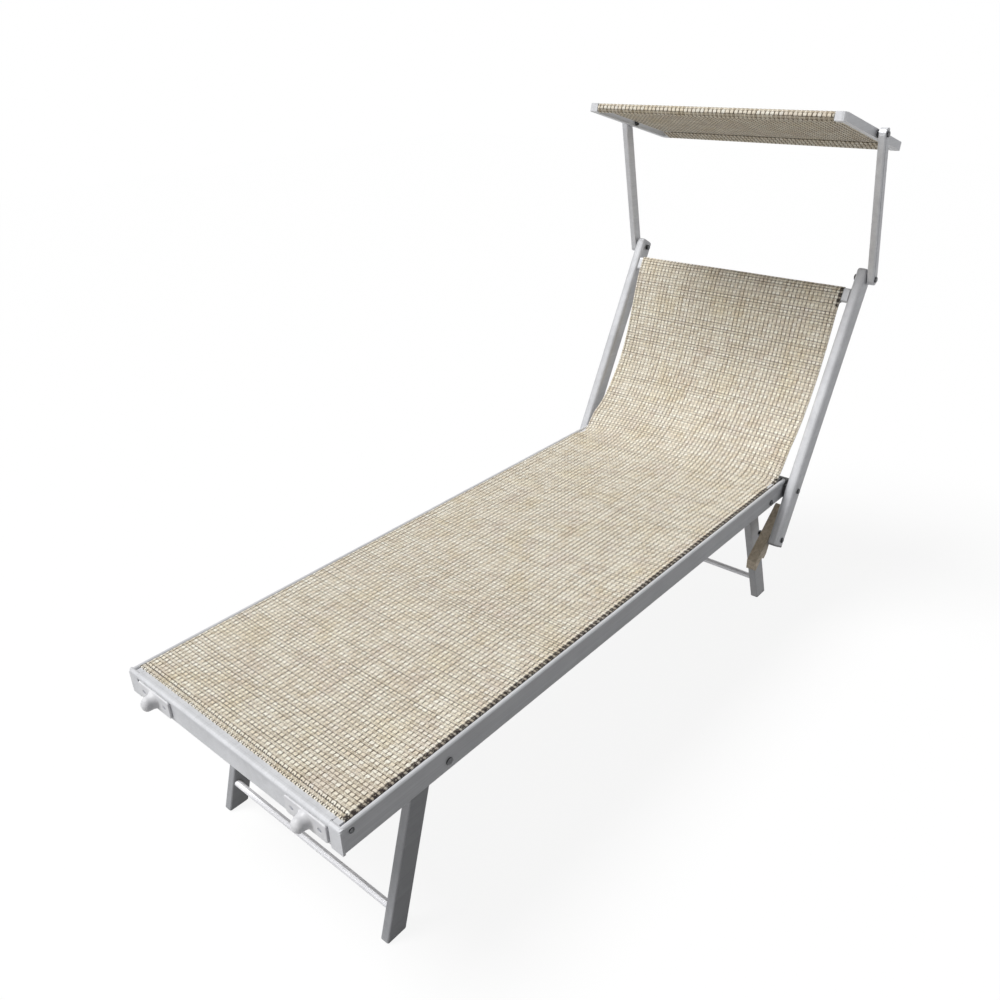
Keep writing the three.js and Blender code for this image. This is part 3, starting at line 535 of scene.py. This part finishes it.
# The top bar, in the back's own directions, and the hem round it
BACK_UP = np.array([math.cos(BACK_ANGLE), math.sin(BACK_ANGLE)])
BACK_BEHIND = np.array([math.sin(BACK_ANGLE), -math.cos(BACK_ANGLE)])
TOP_BAR_UP = 493 * MM
TOP_BAR_SET = -11.6 * MM
TOP_BAR_HALF = 18 * MM
TOP_BAR_ROLL = 6.5 * MM
HEM_TURN = math.radians(118)
HEM_BELOW = 14 * MM

# How finely it is made: points on its seat and on its whole smooth line, and cells to a repeat along it
SEAT_POINTS = 26
LINE_POINTS = 560
SLING_CELLS = 4

# Its width: the runs over which it leaves the rails, its free half width low and high on the back, and how
# far it drifts to the left
RAIL_LEAVES = (1.425, 1.49)
FREE_LOW, FREE_HIGH = 285 * MM, 291 * MM
FREE_WIDENS = (0.20, 0.47)
DRIFT = 2.5 * MM
DRIFT_GROWS = (0.25, 0.47)

# Its surface: faint ripples, sides that dip into the rails' channels, and a toothed foot end
RIPPLE = 0.5 * MM
RIPPLE_ALONG, RIPPLE_ACROSS, RIPPLE_SHIFT = 31.0, 5.1, 0.4
SIDE_DIP = 1.2 * MM
DIP_SHARES = (0.975, 1.0)
DIP_RUN = (4 * MM, 20 * MM)
TOOTH = 0.4 * MM

# Painted shade lies along its sides up to this run and from this height on the back
SIDE_SHADE_RUN = 1.398
SIDE_SHADE_CLIMB = 0.462

# Its relief behind, which is less on the last stretch, where it lies against the bar
RELIEF_BEHIND, RELIEF_BY_BAR = 0.7 * MM, 0.2 * MM
LAST_STRETCH = (90 * MM, 75 * MM)


def on_back(up, behind):
    return np.array([HINGE.y, HINGE.z]) + up * BACK_UP + behind * BACK_BEHIND


def sling_line(rows, middle):
    """The cloth's line at its edge or along its middle, as even steps along y and z, and its length."""
    line = []
    for y in np.linspace(SLING_FOOT, FOOT_Y + (MIDDLE_LEVEL if middle else EDGE_LEVEL), SEAT_POINTS):
        share = ease(y - SLING_FOOT, *SAG_GROWS) * (1 - ease(y - FOOT_Y, *SAG_FADES)) if middle else 0.0
        line.append((y, SLING_Z - SEAT_SAG * share))
    for up, behind in TUCK[MIDDLE_SKIPS:] if middle else TUCK:
        share = math.sin(math.pi * min(up * MM / SLACK_REACH, 1)) ** 2 if middle else 0.0
        line.append(on_back(up * MM, behind * MM + BACK_SLACK * share))
    wrap = TOP_BAR_ROLL + GAP + CLOTH / 2
    face = TOP_BAR_SET - wrap
    line.append(on_back(TOP_BAR_UP - TOP_BAR_HALF, face))
    body = smooth_path(np.array(line), LINE_POINTS)
    high = TOP_BAR_UP + TOP_BAR_HALF - TOP_BAR_ROLL
    low = TOP_BAR_UP - TOP_BAR_HALF + TOP_BAR_ROLL
    turns = [(high, a) for a in np.linspace(math.pi, 0, 12)]
    turns += [(low, a) for a in np.linspace(0, -HEM_TURN, 9)]
    over = [on_back(up + wrap * math.sin(a), TOP_BAR_SET + wrap * math.cos(a)) for up, a in turns]
    over.append(on_back(TOP_BAR_UP - TOP_BAR_HALF - HEM_BELOW, face + CLOTH + HEM_GAP))
    line = np.concatenate([body, over])
    length = np.linalg.norm(np.diff(line, axis=0), axis=1).sum()
    return even_steps(line, rows), length


def make_sling():
    _, length = sling_line(2, False)
    rows = round(length / ROW) * SLING_CELLS + 1
    columns = round(2 * SLING_HALF / COLUMN) * CELLS_ACROSS + 1
    run = np.linspace(0, length, rows)[:, None]
    shares = np.linspace(-1, 1, columns)[None, :]
    edge, _ = sling_line(rows, False)
    middle, _ = sling_line(rows, True)
    grid = middle[:, None] + (edge - middle)[:, None] * np.abs(shares)[..., None] ** 3
    y, z = grid[..., 0], grid[..., 1]
    climb = (y - HINGE.y) * BACK_UP[0] + (z - HINGE.z) * BACK_UP[1]

    on_rail = 1 - ease(run, *RAIL_LEAVES)
    free = FREE_LOW + (FREE_HIGH - FREE_LOW) * ease(climb, *FREE_WIDENS)
    half = on_rail * SLING_HALF + (1 - on_rail) * free
    x = shares * half - DRIFT * ease(climb, *DRIFT_GROWS)
    surface = np.stack([x, y, z], -1)
    ripple = np.sin(run * RIPPLE_ALONG) * np.cos(shares * RIPPLE_ACROSS + RIPPLE_SHIFT)
    surface[..., 2] += RIPPLE * ripple * (1 - shares**4)
    surface[..., 2] -= SIDE_DIP * ease(np.abs(shares), *DIP_SHARES) * ease(run, *DIP_RUN) * on_rail
    across, along = count_repeats(shares, run, SLING_HALF)
    surface[0, :, 1] -= TOOTH * np.cos(2 * np.pi * across[0])

    side = (1 - np.abs(shares)) * half
    # The sides' painted shade shows only on the seat and near the top bar; elsewhere the side's distance is
    # pushed past it
    side = np.where((run < SIDE_SHADE_RUN) | (climb > SIDE_SHADE_CLIMB), side, side + EDGE_CLEAR)
    edges = np.stack(np.broadcast_arrays(side, run), -1)
    by_bar = ease(run, length - LAST_STRETCH[0], length - LAST_STRETCH[1])
    relief_back = RELIEF_BEHIND + (RELIEF_BY_BAR - RELIEF_BEHIND) * by_bar
    obj = woven_sheet("sling", surface, across, along, edges, relief_back)
    paint(obj, woven("sling_cloth", rgb(240, 231, 212), rgb(192, 178, 154)))
    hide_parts("seat_sling", "back_sling")
    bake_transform(obj)


# Sunshade cloth: a pocket round each bar and one slack sheet between them
BAR_RADIUS = 8.5 * MM
BAR_PLACE = 174.5 * MM
SHADE_SAG = 4 * MM
HEM_REACH = 30 * MM
SHADE_CELLS = 8
# Extra painted shade in the grooves between the sunshade cloth's columns
SUNSHADE_GROOVE_SHADE = 0.2
SHADE_RELIEF, POCKET_RELIEF = 0.8 * MM, 0.2 * MM
POCKET_STARTS = 4 * MM
END_CLEAR = 20 * MM

# The middle between its bars, from the tilt joint
SHADE_MIDDLE_Y = -12.4 * MM
SHADE_MIDDLE_Z = 0.3 * MM


def shade_point(y, z):
    cos, sin = math.cos(CANOPY_TILT), math.sin(CANOPY_TILT)
    y, z = y + SHADE_MIDDLE_Y, z + SHADE_MIDDLE_Z
    return CANOPY_PIVOT.y + y * cos + z * sin, CANOPY_PIVOT.z - y * sin + z * cos


def shade_pocket():
    """The seam's place, and the cloth's line from there over the rear bar and back under it."""
    wrap = BAR_RADIUS + GAP + CLOTH / 2
    seam = BAR_PLACE - wrap - HEM_REACH
    leave = math.pi - math.acos(wrap / (BAR_PLACE - seam))
    under = -CLOTH - HEM_GAP
    away = math.hypot(seam - BAR_PLACE, under)
    back = math.atan2(under, seam - BAR_PLACE) + math.acos(wrap / away)
    turn = [(BAR_PLACE + wrap * math.cos(a), wrap * math.sin(a)) for a in np.linspace(leave, back, 26)]
    return seam, [(seam, 0.0)] + turn + [(seam, under)]


def make_shade():
    seam, rear = shade_pocket()
    front = [(-y, z) for y, z in reversed(rear)]
    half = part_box("canopy_fabric")[1].x
    columns = round(2 * half / COLUMN) * CELLS_ACROSS + 1
    shares = np.linspace(-1, 1, columns)[None, :]
    lines = []
    for share in shares[0]:
        sag = SHADE_SAG * (1 - share**2)
        sheet = [(y, -sag * (1 - (y / seam) ** 2)) for y in np.linspace(-seam, seam, 60)[1:-1]]
        lines.append(front + sheet + rear)
    length = np.linalg.norm(np.diff(np.array(lines[0]), axis=0), axis=1).sum()
    rows = round(length / ROW) * SHADE_CELLS + 1
    run = np.linspace(0, length, rows)[:, None]
    grid = np.stack([even_steps(line, rows) for line in lines], 1)
    y, z = shade_point(grid[..., 0], grid[..., 1])
    x = np.broadcast_to(shares * half, (rows, columns))
    across, along = count_repeats(shares, run, half)
    side = (1 - np.abs(shares)) * half + EDGE_CLEAR
    end = np.minimum(run, length - run) + END_CLEAR
    edges = np.stack(np.broadcast_arrays(side, end), -1)
    in_pocket = ease(np.abs(grid[..., 0]), seam - POCKET_STARTS, seam)
    relief_back = SHADE_RELIEF + (POCKET_RELIEF - SHADE_RELIEF) * in_pocket
    obj = woven_sheet("shade_cloth", np.stack([x, y, z], -1), across, along, edges, relief_back)
    paint(obj, woven("shade_weave", rgb(232, 220, 198), rgb(172, 156, 130), SUNSHADE_GROOVE_SHADE))
    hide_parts("canopy_fabric")
    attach(obj, "canopy")


# Foot hooks: a rounded plate and a drooping horn, fused and softened into one moulding
PLATE_THICK = 4.5 * MM
PLATE_CORNER = 5 * MM
HORN_STEPS = 32
HORN_DROOP = 1.5 * MM
DROOP_REACH = 25.0
DROOP_POWER = 1.2
HORN_TALLER = 0.06
TALL_REACH = 12.0
VOXEL = 0.7 * MM
SCREW_SEAT = (3.9 * MM, 4.7 * MM)
SCREW_SINK = 2 * MM
SCREW_BEHIND = 2.5 * MM

# The plate's edge, in mm behind its face and in from its side, and the horn, in mm out and its radius there
PLATE_EDGE = [(1.2, 0.0), (0.4, 0.4), (0.0, 1.3)]
HORN = [(-2.0, 17.4), (0.0, 17.2), (1.5, 16.2), (4.0, 14.8), (7.5, 13.6), (11.0, 13.0), (14.0, 12.9),
        (17.5, 12.2), (20.3, 10.5), (22.4, 7.9), (23.6, 4.6), (24.0, 1.2)]


def hook_shell(low, high):
    """The plate, from the CAD's box, and the horn, as two closed shells in one mesh."""
    middle = (low + high) / 2
    half_x, half_z = (high.x - low.x) / 2, (high.z - low.z) / 2
    face = high.y - PLATE_THICK
    plate = []
    for y, inset in [(high.y, 0.0)] + [(face + behind * MM, inset * MM) for behind, inset in PLATE_EDGE]:
        loop = rounded_loop(half_x - inset, half_z - inset, PLATE_CORNER - inset)
        plate.append([(middle.x + dx, y, middle.z + dz) for dx, dz in loop])
    horn = []
    angles = np.linspace(0, 2 * math.pi, HORN_STEPS + 1)[:-1]
    for reach, radius in HORN:
        out = max(reach, 0.0)
        z = middle.z - HORN_DROOP * (out / DROOP_REACH) ** DROOP_POWER
        tall = radius * (1.0 + HORN_TALLER * min(out / TALL_REACH, 1.0))
        horn.append([(middle.x + radius * MM * math.cos(a), face - reach * MM, z + tall * MM * math.sin(a))
                     for a in angles])
    vertices, faces = shell(plate)
    horn_vertices, horn_faces = shell(horn)
    faces += [tuple(i + len(vertices) for i in face) for face in horn_faces]
    return vertices + horn_vertices, faces


def make_hooks(material):
    for side in SIDES:
        node = f"foot_hook_{side}"
        low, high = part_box(node)
        obj = add_mesh(f"hook_{side}", *hook_shell(low, high))
        remesh = obj.modifiers.new("remesh", "REMESH")
        remesh.mode = "VOXEL"
        remesh.voxel_size = VOXEL
        remesh.use_smooth_shade = True
        soften = obj.modifiers.new("soften", "SMOOTH")
        soften.factor = 0.5
        soften.iterations = 5
        graph = bpy.context.evaluated_depsgraph_get()
        mesh = bpy.data.meshes.new_from_object(obj.evaluated_get(graph))
        obj.modifiers.clear()
        obj.data = mesh
        points = np.zeros(len(mesh.vertices) * 3)
        mesh.vertices.foreach_get("co", points)
        points = points.reshape(-1, 3)
        for end in ("inner", "outer"):
            screw_low, screw_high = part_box(f"hook_screw_{end}_{side}")
            screw = (screw_low + screw_high) / 2
            away = np.hypot(points[:, 0] - screw.x, points[:, 2] - screw.z)
            front = points[:, 1] < high.y - SCREW_BEHIND
            points[:, 1] += np.where(front, SCREW_SINK * (1 - ease(away, *SCREW_SEAT)), 0.0)
        mesh.vertices.foreach_set("co", points.ravel())
        mesh.shade_smooth()
        paint(obj, material)
        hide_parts(node)
        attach(obj, "seat_frame")


# Foot shoes: the leg's section with its lower edges rounded, more along the leg's depth than across
LEG_DEPTH = 43 * MM
SHOE_TOP = 5 * MM
SHOE_ROUND = 4.4 * MM
SHOE_CORNER = 3.5 * MM
CORNER_LEAST = 1.2 * MM
ROUND_ACROSS, ROUND_DEEP, ROUND_CORNER = 1.3, 2.3, 0.3


def make_shoes(material):
    for end, body in (("front", "front_legs"), ("rear", "rear_legs")):
        lean = LEG_LEAN[end]
        joint = JOINTS[f"{end}_leg_fold"]
        for side in SIDES:
            low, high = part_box(f"{end}_leg_{side}")
            half_x = (high.x - low.x) / 2
            half_y = LEG_DEPTH / 2 / math.cos(lean)
            rings = []
            levels = [(SHOE_ROUND * (1 - math.sin(a)), SHOE_ROUND * (1 - math.cos(a)))
                      for a in np.linspace(math.pi / 2, 0, 7)]
            for z, inset in levels + [(SHOE_TOP, 0.0)]:
                y = joint.y + (joint.z - z) * math.tan(lean)
                corner = max(SHOE_CORNER - inset * ROUND_CORNER, CORNER_LEAST)
                loop = rounded_loop(half_x - inset * ROUND_ACROSS, half_y - inset * ROUND_DEEP, corner)
                rings.append([((low.x + high.x) / 2 + dx, y + dy, z) for dx, dy in loop])
            obj = add_mesh(f"{end}_shoe_{side}", *shell(rings))
            for flat in obj.data.polygons[-2:]:
                flat.use_smooth = False
            paint(obj, material)
            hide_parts(f"{end}_foot_cap_{side}")
            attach(obj, body)


# Aluminium of the frame's own parts in one copy for each kind of member, its tones made lighter or darker
# as painted light for how brightly that member is lit: lean, light tone, dark tone, and how metallic
METAL_TONES_BY_LIGHT = {
    "level": (0.0, rgb(216, 217, 220), rgb(196, 197, 200), 0.06),
    "tube": (0.0, rgb(240, 240, 243), rgb(222, 222, 226), 0.3),
    "back": (BACK_ANGLE, rgb(206, 207, 210), rgb(184, 185, 188), 0.3),
    "arm": (UPRIGHT + ARM_LEAN, rgb(222, 223, 226), rgb(202, 203, 206), 0.25),
    "front_leg": (UPRIGHT + LEG_LEAN["front"], rgb(166, 167, 170), rgb(148, 149, 152), 0.05),
    "rear_leg": (UPRIGHT + LEG_LEAN["rear"], rgb(206, 206, 208), rgb(184, 185, 187), 0.15),
    "shade": (-CANOPY_TILT, rgb(224, 225, 228), rgb(206, 207, 210), 0.25),
}


def soften_edges(obj):
    bevel = obj.modifiers.new("edge", "BEVEL")
    bevel.limit_method = "ANGLE"
    bevel.angle_limit = math.radians(35)
    bevel.width = 0.35 * MM
    bevel.segments = 2
    bevel.use_clamp_overlap = True
    bevel.harden_normals = True


def dress_frame():
    # One aluminium in lit and shaded copies, one for each kind of member
    metals = {key: aluminium(f"metal_{key}", *values) for key, values in METAL_TONES_BY_LIGHT.items()}
    black = moulded("black_moulding", rgb(52, 52, 54), rgb(36, 36, 38), 0.5)
    grey = moulded("grey_moulding", rgb(168, 168, 170), rgb(146, 146, 149), 0.55)
    white = moulded("white_moulding", rgb(214, 214, 216), rgb(202, 202, 205), 0.45, wear=0.03)
    screw = moulded("dull_screw", rgb(176, 178, 186), rgb(148, 150, 158), 0.5)
    tan = weathered("tan_moulding", rgb(226, 212, 192), rgb(198, 184, 162), PROP_LEAN)
    chrome = plated("plated_steel")
    rules = [
        ("bolt", chrome), ("screw", screw), ("foot_hook", white), ("foot_cap", grey), ("end_cap", grey),
        ("bracket", black), ("spacer", black), ("prop_", tan), ("cross_tube", metals["tube"]),
        ("front_leg", metals["front_leg"]), ("rear_leg", metals["rear_leg"]), ("back_", metals["back"]),
        ("canopy_arm", metals["arm"]), ("canopy_", metals["shade"]),
    ]
    for name, obj in NODES.items():
        paint(obj, next((material for key, material in rules if key in name), metals["level"]))
        if not obj.hide_render:
            soften_edges(obj)
    return white, metals["front_leg"]


# Floor, backdrop and light
FLOOR_HALF = 9.0
FLOOR_TONE = 0.25
FLOOR_GLOW = 0.9
WORLD_LEVEL = 0.16
SUN_LEVEL = 2.95
SUN_SPREAD = math.radians(28)
SUN_FROM = (-0.38, -0.32, 0.87)

# Fill lamps: name, watts, size, place and what they aim at
FILLS = [
    ("front_fill", 38.0, 2.4, (-1.7, -4.4, 0.8), (0.0, 0.5, 0.8)),
    ("low_fill", 12.0, 0.7, (0.5, -3.6, 0.4), (0.2, 0.6, 0.2)),
    ("rear_fill", 4.0, 1.2, (2.4, 1.9, 0.9), (0.2, 0.6, 0.5)),
]


def make_floor():
    corners = [(sx * FLOOR_HALF, sy * FLOOR_HALF, 0.0) for sx, sy in ((-1, -1), (1, -1), (1, 1), (-1, 1))]
    floor = add_mesh("floor", corners, [(0, 1, 2, 3)], smooth=False)
    s = shader("pale_floor")
    seen = s.seen()
    pale = s.mix(seen, (FLOOR_TONE, FLOOR_TONE, FLOOR_TONE, 1.0), (1.0, 1.0, 1.0, 1.0))
    s.finish(base_color=pale, roughness=1.0, specular_ior_level=0.0)
    glow = s.add("ShaderNodeEmission", {"Color": (1.0, 1.0, 1.0, 1.0), "Strength": 1.0})
    both = {0: s.math("MULTIPLY", seen, FLOOR_GLOW), 1: s.surface.outputs[0], 2: glow.outputs[0]}
    s.feed(s.nodes["Material Output"].inputs[0], s.add("ShaderNodeMixShader", both).outputs[0])
    paint(floor, s.owner)


def make_world():
    world = bpy.data.worlds.new("studio")
    bpy.context.scene.world = world
    s = Graph(world, "Background")
    s.finish(color=(1.0, 1.0, 1.0, 1.0), strength=s.ramp(s.seen(), 0.0, 1.0, WORLD_LEVEL, 1.0))


def add_lamp(data, energy, place, aim):
    data.energy = energy
    lamp = bpy.data.objects.new(data.name, data)
    lamp.location = place
    lamp.rotation_mode = "QUATERNION"
    lamp.rotation_quaternion = (Vector(place) - Vector(aim)).to_track_quat("Z", "Y")
    bpy.context.scene.collection.objects.link(lamp)


def make_lamps():
    sun = bpy.data.lights.new("key", "SUN")
    sun.angle = SUN_SPREAD
    add_lamp(sun, SUN_LEVEL, SUN_FROM, (0.0, 0.0, 0.0))
    for name, watts, size, place, aim in FILLS:
        fill = bpy.data.lights.new(name, "AREA")
        fill.size = size
        add_lamp(fill, watts, place, aim)


make_camera()
make_floor()
make_world()
make_lamps()
make_sling()
make_shade()
white_plastic, shoe_metal = dress_frame()
make_hooks(white_plastic)
make_shoes(shoe_metal)

bpy.context.scene.view_settings.view_transform = "Standard"
bpy.context.view_layer.update()
